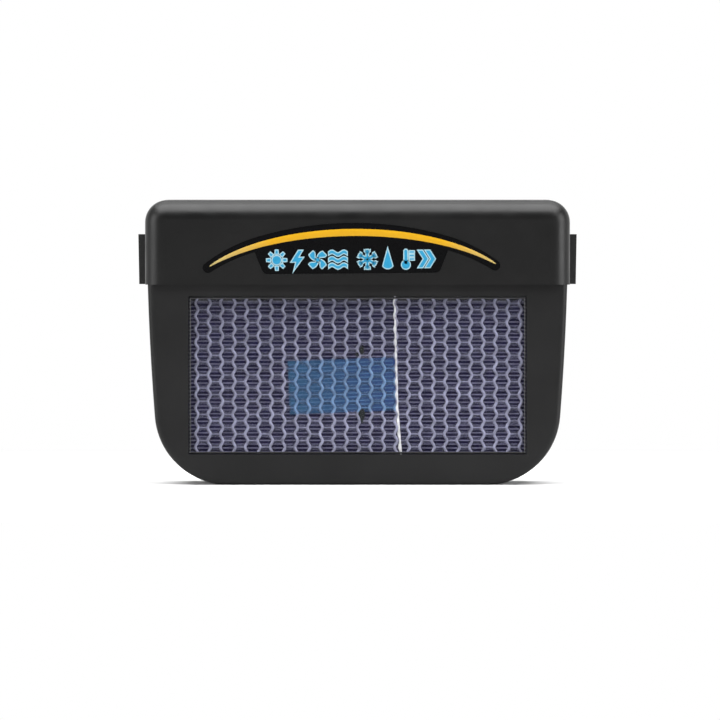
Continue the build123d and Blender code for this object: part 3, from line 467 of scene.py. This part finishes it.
# The cover's rim is pale as a painted highlight.
EDGE_HIGHLIGHT = dotted_rim_highlight("edge_highlight", (0.042, 0.042, 0.046))
AMBER = amber_print()
SKY_BLUE = ink("sky_blue_ink", (0.0125, 0.17, 0.3))
PALE_INK = ink("pale_ink", (0.21, 0.33, 0.375))


def dress_cad():
    """Gives each CAD node the material of its slot in the record. The hood is a shade darker."""
    for part in frame["record"]["subparts"]:
        material = HOOD_PLASTIC if part["node"] == "hood" else MATERIALS[part["material_slot"]]
        for place in NODES[part["node"]].material_slots:
            place.material = material


# ---------------------------------------------------------------- mesh helpers
def finished(name, mesh_builder, materials, smooth=False):
    """Turns a bmesh into an object that rides on the housing."""
    mesh = bpy.data.meshes.new(name)
    bmesh.ops.recalc_face_normals(mesh_builder, faces=mesh_builder.faces)
    mesh_builder.to_mesh(mesh)
    mesh_builder.free()
    for material in materials:
        mesh.materials.append(material)
    if smooth:
        mesh.shade_smooth()
    piece = bpy.data.objects.new(name, mesh)
    bpy.context.scene.collection.objects.link(piece)
    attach(piece, HOUSING)
    return piece


def strip(builder, sections, index=0, closed=False):
    """Skins rows of points, each row one section across the strip."""
    rows = [[builder.verts.new(point) for point in section] for section in sections]
    pairs = list(zip(rows, rows[1:]))
    if closed:
        pairs.append((rows[-1], rows[0]))
    for first, second in pairs:
        for i in range(len(first) - 1):
            face = builder.faces.new((first[i], first[i + 1], second[i + 1], second[i]))
            face.material_index = index


def bar_section(x, z, across, y_back, y_front, rise):
    """Five points of a low rounded bar, side to side: across is half its width as a vector."""
    ax, az = across
    return [
        Vector((x - ax, y_back, z - az)),
        Vector((x - ax * 0.8, y_front, z - az * 0.8)),
        Vector((x, y_front - rise, z)),
        Vector((x + ax * 0.8, y_front, z + az * 0.8)),
        Vector((x + ax, y_back, z + az)),
    ]


# ---------------------------------------------------------------- solar window
def wave_x(line, z):
    """The x of a wavy line's middle at a height. Neighbouring lines are half a period apart."""
    phase = 2 * pi * (z - FIRST_CREST_Z) / PERIOD + pi * (line % 2)
    return FIRST_LINE_X + line * COLUMN - WAVE * cos(phase)


def over_blue(x, z):
    """True where a point of the film lies in front of the blue cell."""
    middle = (BLUE_LOW + BLUE_HIGH) / 2
    turned_x = (x - middle.x) * cos(BLUE_TURN) + (z - middle.z) * sin(BLUE_TURN)
    turned_z = (z - middle.z) * cos(BLUE_TURN) - (x - middle.x) * sin(BLUE_TURN)
    half_x = (BLUE_HIGH.x - BLUE_LOW.x) / 2 - 0.4 * MM
    half_z = (BLUE_HIGH.z - BLUE_LOW.z) / 2 - 0.8 * MM
    return abs(turned_x) < half_x and abs(turned_z) < half_z


def wavy_strips(builder, section_at):
    """One strip along each wavy line, of the section that section_at gives for a line and a height."""
    tall = FILM_Z[1] - FILM_Z[0]
    for line in FILM_LINES:
        heights = [FILM_Z[0] + tall * i / FILM_STEPS for i in range(FILM_STEPS + 1)]
        strip(builder, [section_at(line, z) for z in heights])


def line_section(line, z):
    """The section of a wavy line, square to the way it runs."""
    step = 0.1 * MM
    ahead = wave_x(line, z + step / 2) - wave_x(line, z - step / 2)
    half = LINE / 2 / sqrt(ahead**2 + step**2)
    across = (half * step, -half * ahead)
    return bar_section(wave_x(line, z), z, across, FILM_Y + LINE_BACK, FILM_Y + LINE_FRONT, LINE_RISE)


def halo_section(line, z):
    """The section of the milky band along a wavy line."""
    return [Vector((wave_x(line, z) + side * HALO, FILM_Y + HALO_BACK, z)) for side in (-1, 0, 1)]


def honeycomb_lines():
    """The wavy upright lines of the film."""
    builder = bmesh.new()
    wavy_strips(builder, line_section)
    paint_over_blue(builder)
    return finished("honeycomb_lines", builder, [LINE_PALE, LINE_BLUE], True)


def paint_over_blue(builder):
    """Gives the faces in front of the blue cell the second material."""
    for face in builder.faces:
        middle = face.calc_center_median()
        if over_blue(middle.x, middle.z):
            face.material_index = 1


def narrow_places():
    """Where two neighbouring lines come close: the left line's number and the height."""
    low = int((FILM_Z[0] - FIRST_CREST_Z) / PERIOD) - 1
    high = int((FILM_Z[1] - FIRST_CREST_Z) / PERIOD) + 1
    for line in FILM_LINES[:-1]:
        offset = 0.5 if line % 2 == 0 else 0.0
        for row in range(low, high + 1):
            z = FIRST_CREST_Z + (row + offset) * PERIOD
            if FILM_Z[0] + BRIDGE < z < FILM_Z[1] - BRIDGE:
                yield line, z


def honeycomb_bridges():
    """The short level bars that join two lines where they come close."""
    builder = bmesh.new()
    for line, z in narrow_places():
        left, right = wave_x(line, z) + LINE * 0.3, wave_x(line + 1, z) - LINE * 0.3
        strip(builder, [
            bar_section(x, z, (0, BRIDGE / 2), FILM_Y + LINE_BACK, FILM_Y + BRIDGE_FRONT, BRIDGE_RISE)
            for x in (left, (left + right) / 2, right)
        ])
    paint_over_blue(builder)
    return finished("honeycomb_bridges", builder, [BRIDGE_GREY, BRIDGE_BLUE], True)


def honeycomb_veils():
    """The milky patches round those bars, highest where they meet the lines."""
    builder = bmesh.new()
    steps = 6
    for line, z in narrow_places():
        left, right = wave_x(line, z), wave_x(line + 1, z)
        sections = []
        for i in range(steps + 1):
            x = left + (right - left) * i / steps
            half = VEIL[1] + (VEIL[0] - VEIL[1]) * abs(2 * i / steps - 1) ** 1.5
            low, high = max(FILM_Z[0], z - half), min(FILM_Z[1], z + half)
            heights = (low, (low + high) / 2, high)
            sections.append([Vector((x, FILM_Y + VEIL_BACK, height)) for height in heights])
        strip(builder, sections)
    paint_over_blue(builder)
    return finished("honeycomb_veils", builder, [VEIL_GREY, VEIL_BLUE])


def honeycomb_halos():
    """The milky bands along the wavy lines."""
    builder = bmesh.new()
    wavy_strips(builder, halo_section)
    paint_over_blue(builder)
    return finished("honeycomb_halos", builder, [HALO_GREY, HALO_BLUE])


def ribbon_x(z):
    """The x of the silver ribbon's middle at a height: two straight runs and a slight wobble."""
    upper, lower = (RIBBON_TOP, RIBBON_BEND) if z > RIBBON_BEND[1] else (RIBBON_BEND, RIBBON_FOOT)
    share = (z - lower[1]) / (upper[1] - lower[1])
    line = round((RIBBON_TOP[0] - FIRST_LINE_X) / COLUMN)
    wobble = 0.4 * (wave_x(line, z) - FIRST_LINE_X - line * COLUMN)
    return lower[0] + (upper[0] - lower[0]) * share + wobble


def ribbon_beads():
    """The ribbon's solder, which shows in front of the film as an uneven bright line, pale partly in its
    own colour and partly as a painted glint.
    """
    builder = bmesh.new()
    steps = 120
    sections = []
    for i in range(steps + 1):
        z = RIBBON_FOOT[1] + (RIBBON_TOP[1] - RIBBON_FOOT[1]) * i / steps
        beads = 0.12 * cos(2 * pi * (z - FIRST_CREST_Z) / PERIOD) + 0.05 * cos(z / MM)
        across = ((RIBBON_HALF + beads) * MM, 0)
        back, front = FILM_Y + RIBBON_BACK, FILM_Y + RIBBON_FRONT
        sections.append(bar_section(ribbon_x(z), z, across, back, front, RIBBON_RISE))
    strip(builder, sections)
    return finished("ribbon_beads", builder, [RIBBON_GLINT], True)


def lead_dabs():
    """The dabs of black sealant over the lead ends above and below the blue cell."""
    builder = bmesh.new()
    upper = [(0.9, 2.6), (1.2, 0.6), (0.7, -1.2), (-0.6, -2.4)]
    upper += [(-2.2, -2.6), (-2.5, -1.2), (-0.9, -0.4), (-0.5, 1.4)]
    lower = [(1.0, 2.8), (1.6, 1.0), (1.1, -0.6), (0.5, -3.2)]
    lower += [(-0.3, -3.0), (-0.8, -0.6), (-1.5, 0.4), (-1.2, 2.4)]
    for (middle_x, middle_z), outline in zip(DABS, (upper, lower)):
        builder.faces.new([
            builder.verts.new((middle_x + x * MM, FILM_Y + DAB_BACK, middle_z + z * MM))
            for x, z in outline
        ])
    return finished("lead_dabs", builder, [DAB_BLACK])


def cell_top_gap():
    """The black strip above the cells, partly board and partly painted shadow of the frame, with the
    cells' bright upper edge.
    """
    builder = bmesh.new()
    margin = 0.2 * MM
    y = CELL_Y - 0.04 * MM
    heights = [CELL_TOP - 0.2 * MM, CELL_TOP + 0.1 * MM, WINDOW_Z[1]]
    for low, high, index in ((heights[1], heights[2], 0), (heights[0], heights[1], 1)):
        strip(builder, [
            [Vector((x, y, low)), Vector((x, y, high))]
            for x in (WINDOW_X[0] + margin, WINDOW_X[1] - margin)
        ], index)
    return finished("cell_top_gap", builder, [MATERIALS["gasket_rubber"], LINE_PALE])


def cell_fingers():
    """The level collector lines printed on the dark cells."""
    builder = bmesh.new()
    count = int((WINDOW_Z[1] - WINDOW_Z[0]) / FINGER_PITCH)
    margin = 0.3 * MM
    first_z = WINDOW_Z[0] + 0.62 * FINGER_PITCH
    for i in range(count):
        strip(builder, [
            bar_section(
                x, first_z + i * FINGER_PITCH, (0, FINGER / 2), CELL_Y, CELL_Y - FINGER_FRONT, FINGER_RISE
            )
            for x in (WINDOW_X[0] + margin, 0.0, WINDOW_X[1] - margin)
        ])
    return finished("cell_fingers", builder, [FINGER_GREY])


def blue_fingers():
    """The collector lines on the blue cell, along its own upper and lower edges."""
    builder = bmesh.new()
    middle = (BLUE_LOW + BLUE_HIGH) / 2
    tall = (BLUE_HIGH.z - BLUE_LOW.z) - (BLUE_HIGH.x - BLUE_LOW.x) * sin(BLUE_TURN)
    half_x = (BLUE_HIGH.x - BLUE_LOW.x) / 2 - 1.2 * MM
    count = int(tall / FINGER_PITCH)
    for i in range(count):
        rise = (i + 0.5 - count / 2) * FINGER_PITCH
        sections = []
        for along_x in (-half_x, 0.0, half_x):
            x = middle.x + along_x * cos(BLUE_TURN) - rise * sin(BLUE_TURN)
            z = middle.z + along_x * sin(BLUE_TURN) + rise * cos(BLUE_TURN)
            front = BLUE_LOW.y - FINGER_FRONT
            sections.append(bar_section(x, z, (0, FINGER * 0.4), BLUE_LOW.y, front, FINGER_RISE))
        strip(builder, sections)
    return finished("blue_fingers", builder, [FINGER_BLUE])


def lens_edge():
    """The cover's polished rim, a thin pale line of painted highlight just inside the frame, dark along
    its foot.
    """
    builder = bmesh.new()
    outer, inner = 0.18 * MM, 1.1 * MM
    front = LENS_LOW.y
    sections = []
    corners = [(0, 0), (1, 0), (1, 1), (0, 1)]
    for i, j in corners:
        way_x, way_z = (1 if i == 0 else -1), (1 if j == 0 else -1)
        profile = [(outer, 0.35 * MM), ((outer + inner) / 2, -0.03 * MM), (inner, 0.02 * MM)]
        sections.append([
            Vector((WINDOW_X[i] + way_x * inside, front + back, WINDOW_Z[j] + way_z * inside))
            for inside, back in profile
        ])
    strip(builder, sections, closed=True)
    for face in builder.faces:
        if face.calc_center_median().z < WINDOW_Z[0] + inner:
            face.material_index = 1
    return finished("lens_edge", builder, [EDGE_HIGHLIGHT, MATERIALS["gasket_rubber"]])


# ---------------------------------------------------------------- badge
def on_badge(x, z):
    """A point of the badge's plane, turned and shifted to where it is stuck on."""
    turned_x = x * cos(BADGE_TURN) - z * sin(BADGE_TURN)
    turned_z = x * sin(BADGE_TURN) + z * cos(BADGE_TURN)
    return turned_x + BADGE_X, turned_z


def badge_stripe():
    """The crescent stripe: an arch that thins towards its tips, slightly domed."""
    builder = bmesh.new()
    steps = 96
    sections = []
    for i in range(steps + 1):
        x = -STRIPE_HALF * cos(pi * i / steps)
        middle = STRIPE_TOP - STRIPE_ARCH[1] * (1 - sqrt(1 - (x / STRIPE_ARCH[0]) ** 2))
        thick = STRIPE_THICK * (1 - (0.998 * x / STRIPE_HALF) ** 2) ** STRIPE_TAPER
        section = []
        for share, proud in ((-0.5, 0), (-0.42, 0.05), (0, 0.09), (0.42, 0.05), (0.5, 0)):
            place_x, place_z = on_badge(x + STRIPE_X, middle + thick * share)
            section.append(Vector((place_x, BADGE_Y - 0.005 * MM - proud * MM, place_z)))
        sections.append(section)
    strip(builder, sections)
    return finished("badge_stripe", builder, [AMBER], True)


def circle(radius, centre=(0, 0), steps=28):
    """Points round a circle."""
    return [
        (centre[0] + radius * cos(2 * pi * i / steps), centre[1] + radius * sin(2 * pi * i / steps))
        for i in range(steps)
    ]


def turned(points, angle):
    """Points turned about the origin."""
    return [(x * cos(angle) - z * sin(angle), x * sin(angle) + z * cos(angle)) for x, z in points]


def sized(points):
    """Points of a mark of half height 1 at the marks' own size."""
    return [(x * MARK_SIZE, z * MARK_SIZE) for x, z in points]


def sun_mark():
    """A disc with eight rays."""
    ray = sized([(-0.14, 0.66), (0.14, 0.66), (0.1, 1), (-0.1, 1)])
    return [circle(0.44 * MARK_SIZE)] + [turned(ray, 2 * pi * i / 8) for i in range(8)]


def bolt_mark():
    """A bolt of lightning."""
    left = [(0.16, 0.96), (-0.58, -0.18), (-0.08, -0.18), (-0.28, -0.94)]
    right = [(0.6, 0.24), (0.1, 0.24), (0.52, 0.96)]
    return [sized(left + right)]


def fan_mark():
    """Four swept blades round a hub."""
    size = MARK_SIZE
    blade = []
    steps = 10
    for i in range(steps + 1):
        t = i / steps
        radius = size * (0.3 + 0.68 * t)
        angle = 0.55 * t
        blade.append((radius * sin(angle), radius * cos(angle)))
    for i in range(steps + 1):
        t = 1 - i / steps
        radius = size * (0.3 + 0.68 * t)
        angle = 0.2 + 0.55 * t + 0.62 * sin(pi * (0.2 + 0.62 * t))
        blade.append((radius * sin(angle), radius * cos(angle)))
    return [circle(0.2 * size)] + [turned(blade, -pi / 2 * i) for i in range(4)]


def wave_mark():
    """Three level waves."""
    size = MARK_SIZE
    loops = []
    steps = 18
    for level in (-0.66, 0.0, 0.66):
        top, foot = [], []
        for i in range(steps + 1):
            x = size * (-0.92 + 1.84 * i / steps)
            z = size * (level + 0.14 * sin(2 * pi * 1.5 * i / steps))
            top.append((x, z + 0.14 * size))
            foot.append((x, z - 0.14 * size))
        loops.append(foot + top[::-1])
    return loops


def flake_mark():
    """A six-armed frost star."""
    arm = sized([(-0.1, 0.1), (0.1, 0.1), (0.1, 0.98), (-0.1, 0.98)])
    twig = sized([(-0.26, 0.82), (0, 0.62), (0.26, 0.82), (0.26, 0.92), (0, 0.74), (-0.26, 0.92)])
    loops = []
    for i in range(6):
        loops += [turned(arm, pi / 3 * i), turned(twig, pi / 3 * i)]
    return loops


def chevron_mark():
    """Two arrowheads that point to the right."""
    head = [(-0.3, 0.86), (0.12, 0.86), (0.66, 0.0), (0.12, -0.86), (-0.3, -0.86), (0.24, 0.0)]
    return [sized([(x + shift, z) for x, z in head]) for shift in (-0.6, 0.14)]


def drop_mark():
    """A drop of water: a point above the foot of a circle."""
    reach = pi - 2.2               # how far round from its lowest point the circle is kept
    foot = [
        (0.6 * sin(angle), -0.34 - 0.6 * cos(angle))
        for angle in (reach * (i / 9 - 1) for i in range(19))
    ]
    return [sized([(0, 1)] + foot)]


def gauge_mark():
    """A thermometer: a bulb, a stem and three ticks."""
    size = MARK_SIZE
    stem = [(-0.4, -0.5), (-0.08, -0.5), (-0.08, 0.84), (-0.16, 0.96), (-0.32, 0.96), (-0.4, 0.84)]
    loops = [circle(0.42 * size, (-0.24 * size, -0.58 * size)), sized(stem)]
    for level in (0.0, 0.36, 0.72):
        low, high = level - 0.08, level + 0.08
        loops.append(sized([(0.14, low), (0.6, low), (0.6, high), (0.14, high)]))
    return loops


def flat_shape(loops, grow, height, centre):
    """Loops of millimetre points as one raised shape on the badge, grown outwards by grow."""
    builder = bmesh.new()
    for loop in loops:
        curve = bpy.data.curves.new("outline", "CURVE")
        curve.dimensions = "2D"
        curve.fill_mode = "BOTH"
        curve.offset = grow
        curve.extrude = height * MM / 2
        spline = curve.splines.new("POLY")
        spline.points.add(len(loop) - 1)
        for point, (x, z) in zip(spline.points, loop):
            point.co = (x * MM, z * MM, 0, 1)
        spline.use_cyclic_u = True
        holder = bpy.data.objects.new("outline", curve)
        mesh = bpy.data.meshes.new_from_object(holder)
        builder.from_mesh(mesh)
        bpy.data.objects.remove(holder)
        bpy.data.curves.remove(curve)
        bpy.data.meshes.remove(mesh)
    for vertex in builder.verts:
        x, z = on_badge(vertex.co.x + centre[0], vertex.co.y + centre[1])
        vertex.co = Vector((x, BADGE_Y - height * MM / 2 - vertex.co.z, z))
    bmesh.ops.remove_doubles(builder, verts=builder.verts, dist=1e-7)
    return builder


def badge_marks():
    """A row of plain pictograms, sky blue with pale rims."""
    marks = {
        "sun": sun_mark(), "bolt": bolt_mark(), "fan": fan_mark(), "waves": wave_mark(),
        "frost": flake_mark(), "drop": drop_mark(), "gauge": gauge_mark(), "arrows": chevron_mark(),
    }
    for place_x, (name, loops) in zip(MARKS_X, marks.items()):
        centre = (place_x * MM, MARKS_Z)
        rim = flat_shape(loops, MARK_RIM, RIM_HEIGHT, centre)
        finished(f"mark_rim_{name}", rim, [PALE_INK])
        fill = flat_shape(loops, -MARK_INSET, FILL_HEIGHT, centre)
        finished(f"mark_fill_{name}", fill, [SKY_BLUE])


# ---------------------------------------------------------------- studio
def floor():
    """A wide pale floor that turns to plain white far from the object, where it meets the sky."""
    builder = bmesh.new()
    rings = [0.15, 0.4, 1.0, 2.5, 6.0, 15.0, 40.0]
    sides = 64
    sections = [
        [Vector((r * cos(2 * pi * i / sides), r * sin(2 * pi * i / sides), 0)) for r in rings]
        for i in range(sides)
    ]
    strip(builder, sections, closed=True)
    builder.faces.new([vertex for vertex in builder.verts if vertex.co.xy.length < rings[0] * 1.01])
    mesh = bpy.data.meshes.new("floor")
    builder.to_mesh(mesh)
    builder.free()
    material, tree, surface = shader("floor_pale", (0.55, 0.55, 0.55), 0.6, specular=0.2)
    tree.links.new(
        tint(tree, cloudy(tree, 0.15, 2.0), (0.54, 0.54, 0.54), (0.57, 0.57, 0.57)),
        surface.inputs["Base Color"],
    )
    gradient = tree.nodes.new("ShaderNodeVectorMath")
    gradient.operation = "LENGTH"
    tree.links.new(coordinates(tree), gradient.inputs[0])
    far = spread(tree, gradient.outputs["Value"], 0.0, 1.0, 0.25, 0.7)
    glow = tree.nodes.new("ShaderNodeEmission")
    blend = tree.nodes.new("ShaderNodeMixShader")
    tree.links.new(far, blend.inputs[0])
    tree.links.new(surface.outputs[0], blend.inputs[1])
    tree.links.new(glow.outputs[0], blend.inputs[2])
    tree.links.new(blend.outputs[0], tree.nodes["Material Output"].inputs["Surface"])
    mesh.materials.append(material)
    piece = bpy.data.objects.new("floor", mesh)
    bpy.context.scene.collection.objects.link(piece)


def softbox(name, place, target, size, watts):
    """A white rectangular area light that faces a target."""
    light = bpy.data.lights.new(name, "AREA")
    light.shape = "RECTANGLE"
    light.size, light.size_y = size
    light.energy = watts
    lamp = bpy.data.objects.new(name, light)
    lamp.location = place
    lamp.rotation_euler = (Vector(target) - Vector(place)).to_track_quat("-Z", "Y").to_euler()
    bpy.context.scene.collection.objects.link(lamp)


def sky():
    """White at eye level and some way up behind the object, dim where the softboxes hang."""
    world = bpy.context.scene.world or bpy.data.worlds.new("World")
    bpy.context.scene.world = world
    world.use_nodes = True
    tree = world.node_tree
    direction = tree.nodes.new("ShaderNodeTexCoord")
    parts = tree.nodes.new("ShaderNodeSeparateXYZ")
    tree.links.new(direction.outputs["Generated"], parts.inputs["Vector"])
    behind = calculated(tree, "MAXIMUM", parts.outputs["Y"], 0.0)
    height = calculated(tree, "SUBTRACT", parts.outputs["Z"], calculated(tree, "MULTIPLY", behind, 0.6))
    light = tree.nodes["Background"]
    tree.links.new(spread(tree, height, 1.0, 0.25, 0.06, 0.2), light.inputs["Color"])
    light.inputs["Strength"].default_value = 1.0


def studio():
    """Softboxes over, behind and beside the object, under the sky."""
    sky()
    bpy.context.scene.view_settings.view_transform = "Standard"
    middle = (0, 0, 0.06)
    softbox("top_box", (0.0, -0.36, 1.1), (0.0, -0.36, 0.0), (1.8, 1.1), 56.0)
    softbox("back_box", (0.0, 0.56, 1.1), (0.0, 0.56, 0.0), (1.8, 0.7), 11.0)
    softbox("left_box", (-1.13, -0.42, 0.3), middle, (0.7, 0.9), 9.8)
    softbox("right_box", (1.13, -0.42, 0.3), middle, (0.7, 0.9), 14.0)


def camera():
    """A long lens in front of the solar window, level with it, looking along +Y."""
    lens = bpy.data.cameras.new("Camera")
    distance = 6.0
    frame_width = 313.8 * MM           # what the picture takes in at the object's front
    lens.lens = lens.sensor_width * distance / frame_width
    lens.clip_end = 100.0
    eye = bpy.data.objects.new("Camera", lens)
    tilt = radians(0.8)
    aim = Vector((1.09 * MM, CAD_BOX[0].y, 54.5 * MM))
    eye.location = aim + Vector((0, -cos(tilt), sin(tilt))) * distance
    eye.rotation_euler = (radians(90) - tilt, 0, 0)
    bpy.context.scene.collection.objects.link(eye)
    bpy.context.scene.camera = eye


def clear_defaults():
    """Removes what a new Blender file holds."""
    for name in ("Cube", "Light", "Camera"):
        if name in bpy.data.objects:
            bpy.data.objects.remove(bpy.data.objects[name])


clear_defaults()
dress_cad()
honeycomb_lines()
honeycomb_bridges()
honeycomb_veils()
honeycomb_halos()
cell_top_gap()
ribbon_beads()
lead_dabs()
cell_fingers()
blue_fingers()
lens_edge()
badge_stripe()
badge_marks()
floor()
studio()
camera()
